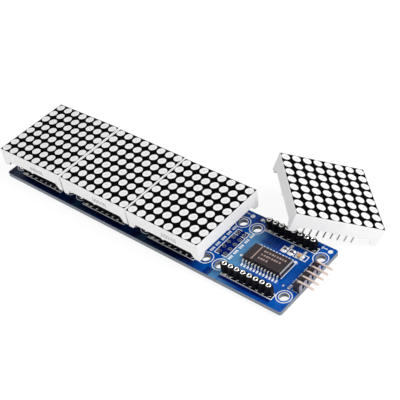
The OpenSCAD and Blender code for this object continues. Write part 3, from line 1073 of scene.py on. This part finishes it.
class DOTMATRIX_OT_small_parts(FinishOperator, bpy.types.Operator):
    """Finish the chip resistors and capacitors"""

    bl_idname = "dot_matrix.small_parts"
    bl_label = "Small parts"

    def execute(self, context):
        glaze = two_tone("resistor_glaze", 0.3 * MM, (0.018, 0.018, 0.02, 1.0),
                         (0.04, 0.04, 0.042, 1.0), (0.2 * MM, 0.01 * MM), Roughness=0.2)
        dress(glaze, "resistors")
        clay = two_tone("capacitor_ceramic", 0.3 * MM, (0.72, 0.42, 0.22, 1.0),
                        (0.62, 0.34, 0.17, 1.0), (0.1 * MM, 0.01 * MM), Roughness=0.38)
        dress(clay, "capacitors")
        tin = bright_metal("tinned_ends", self.settings.metals.bright, 0.45)
        dress(tin, "chip_ends")
        self.add_fillets(tin)
        return {"FINISHED"}

    def add_fillets(self, tin):
        """Low solder round the ends: a mound at each of the six faces of every end."""
        mesh = bmesh.new()
        boxes = islands("chip_ends")
        side = END_SOLDER_SIDE
        for low, high in boxes:
            near = [b for b in boxes if 0 < (b[0] - low).length < PART_REACH]
            other = min(near, key=lambda b: (b[0] - low).length)
            way = (low + high) / 2 - (other[0] + other[1]) / 2
            run = [side] * 4
            if abs(way.x) > abs(way.y):
                run[0 if way.x < 0 else 2] += END_SOLDER_RUN
            else:
                run[1 if way.y < 0 else 3] += END_SOLDER_RUN
            outer = rectangle(low.x - run[0], low.y - run[1], high.x + run[2], high.y + run[3])
            inner = rectangle(low.x, low.y, high.x, high.y)
            top = BOARD_TOP + (high.z - BOARD_TOP) * END_SOLDER_RISE
            add_prism(mesh, outer, BOARD_TOP - SINK, top, inner)
        make_piece("end_solder", mesh, tin)


class DOTMATRIX_OT_header(FinishOperator, bpy.types.Operator):
    """Finish the pin header and the solder under the board"""

    bl_idname = "dot_matrix.header"
    bl_label = "Header and solder"

    def execute(self, context):
        metals = self.settings.metals
        block = paint("header_moulding", Roughness=0.3, Specular_IOR_Level=0.3)
        # Painted reflection: faces that point along +x are pale lavender, for the white
        # surroundings mirrored in the glossy black moulding.
        front = span(block, facing(block, (1, 0, 0)), 0.8, 0.95)
        dark = blend_colors(block, noise(block, 0.5 * MM), (0.006, 0.006, 0.016, 1.0),
                            (0.011, 0.011, 0.03, 1.0))
        set_color(block, blend_colors(block, front, dark, (0.30, 0.28, 0.37, 1.0)))
        grain(block, 0.3 * MM, 0.006 * MM)
        dress(block, "header_block")
        dress(bright_metal("header_gold", metals.gold, 0.25), "header_pins")
        dress(bright_metal("solder_joint", metals.tin, 0.3), "solder_joints")
        return {"FINISHED"}


# Places of the lamps and the point that both face, in metres.
KEY_PLACE = (0.60, 0.14, 0.62)
FILL_PLACE = (-0.13, -0.45, 0.09)
LAMP_AIM = Vector((0.0, 0.0, 0.01))
# Point that the camera turns about, its lens shift and its nearest sight.
VIEW_AIM = Vector((0.01166, 0.01364, 0.0))
VIEW_SHIFT = (-0.0291, 0.00415)
NEAR_CLIP = 0.01
# Floor: gap under the lowest piece, thickness, and its looks where it is seen directly.
FLOOR_GAP = 0.02 * MM
FLOOR_DEPTH = 10 * MM
FLOOR_LIT = (0.15, 0.15, 0.15, 1.0)
FLOOR_GLOW = 0.89


class DOTMATRIX_OT_stage(FinishOperator, bpy.types.Operator):
    """Make the floor, the light and the camera"""

    bl_idname = "dot_matrix.stage"
    bl_label = "Stage"

    def execute(self, context):
        settings = self.settings.stage
        self.add_floor(settings)
        self.add_light(context, settings)
        self.add_camera(context, settings)
        return {"FINISHED"}

    def add_floor(self, settings):
        half = settings.floor_size / 2
        level = CAD_BOX[0][2] - FLOOR_GAP
        mesh = bmesh.new()
        add_prism(mesh, rectangle(-half, -half, half, half), level - FLOOR_DEPTH, level)
        floor = add_solid("floor", mesh, self.floor_paint(settings))

    def floor_paint(self, settings):
        """White where it is seen, with a faint shadow; plain and pale for the light it gives."""
        material = bpy.data.materials.new("floor")
        material.use_nodes = True
        material.node_tree.nodes.clear()
        output = add_node(material, "ShaderNodeOutputMaterial")
        plain = add_node(material, "ShaderNodeBsdfDiffuse", Color=settings.floor)
        lit = add_node(material, "ShaderNodeBsdfDiffuse", Color=FLOOR_LIT)
        glow = add_node(material, "ShaderNodeEmission", Color=(1, 1, 1, 1), Strength=FLOOR_GLOW)
        seen = add_node(material, "ShaderNodeAddShader")
        feed(material, seen.inputs, (lit.outputs[0], glow.outputs[0]))
        mix = add_node(material, "ShaderNodeMixShader")
        shaders = plain.outputs[0], seen.outputs[0]
        feed(material, mix.inputs, (seen_directly(material), *shaders))
        join(material, mix.outputs[0], output.inputs[0])
        return material

    def add_light(self, context, settings):
        world = bpy.data.worlds.new("studio")
        context.scene.world = world
        world.use_nodes = True
        background = world.node_tree.nodes["Background"]
        background.inputs["Color"].default_value = (1, 1, 1, 1)
        strength = span(world, seen_directly(world), 0.0, 1.0, settings.sky, 1.0)
        join(world, strength, background.inputs["Strength"])
        self.add_lamp("key", settings.key, settings.key_size, KEY_PLACE)
        self.add_lamp("fill", settings.fill, settings.key_size / 2, FILL_PLACE)

    def add_lamp(self, name, power, size, place):
        lamp = bpy.data.lights.new(name, "AREA")
        lamp.energy = power
        lamp.size = size
        holder = add_object(name, lamp)
        holder.location = place
        aim = LAMP_AIM - holder.location
        holder.rotation_euler = aim.to_track_quat("-Z", "Y").to_euler()

    def add_camera(self, context, settings):
        camera = bpy.data.cameras.new("camera")
        camera.lens = settings.lens
        camera.shift_x, camera.shift_y = VIEW_SHIFT
        camera.clip_start = NEAR_CLIP
        view = add_object("camera", camera)
        tilt = math.pi / 2 - settings.elevation
        turn = Matrix.Rotation(-settings.azimuth, 4, "Z") @ Matrix.Rotation(tilt, 4, "X")
        turn = turn @ Matrix.Rotation(settings.roll, 4, "Z")
        view.matrix_world = (Matrix.Translation(VIEW_AIM) @ turn
                             @ Matrix.Translation((0, 0, settings.distance)))
        context.scene.camera = view
        context.scene.view_settings.view_transform = "Standard"


def seen_directly(material):
    """1 for what the camera, a mirror or glass sees, 0 for the light that falls on things."""
    path = add_node(material, "ShaderNodeLightPath")
    rays = (path.outputs[f"Is {kind} Ray"] for kind in ("Camera", "Glossy", "Transmission"))
    return calculate(material, "MINIMUM", calculate(material, "ADD", *rays), 1.0)


class DOTMATRIX_PT_panel(bpy.types.Panel):
    """Lists the steps that finish the module"""

    bl_idname = "DOTMATRIX_PT_panel"
    bl_label = "Dot matrix module"
    bl_space_type = "VIEW_3D"
    bl_region_type = "UI"
    bl_category = "Dot matrix"

    def draw(self, context):
        for operator in OPERATORS:
            self.layout.operator(operator.bl_idname)
        for name, group in GROUPS.items():
            box = self.layout.box()
            box.label(text=group.__doc__)
            for key in group.__annotations__:
                box.prop(getattr(context.scene.dot_matrix, name), key)


OPERATORS = (
    DOTMATRIX_OT_stage, DOTMATRIX_OT_board, DOTMATRIX_OT_print, DOTMATRIX_OT_displays,
    DOTMATRIX_OT_sockets, DOTMATRIX_OT_drivers, DOTMATRIX_OT_small_parts, DOTMATRIX_OT_header,
)
CLASSES = (*GROUPS.values(), ModuleSettings, *OPERATORS, DOTMATRIX_PT_panel)


def register():
    for item in CLASSES:
        bpy.utils.register_class(item)
    bpy.types.Scene.dot_matrix = bpy.props.PointerProperty(type=ModuleSettings)


def unregister():
    del bpy.types.Scene.dot_matrix
    for item in reversed(CLASSES):
        bpy.utils.unregister_class(item)


def main():
    register()
    for operator in OPERATORS:
        group, name = operator.bl_idname.split(".")
        getattr(getattr(bpy.ops, group), name)()


if __name__ == "__main__":
    main()
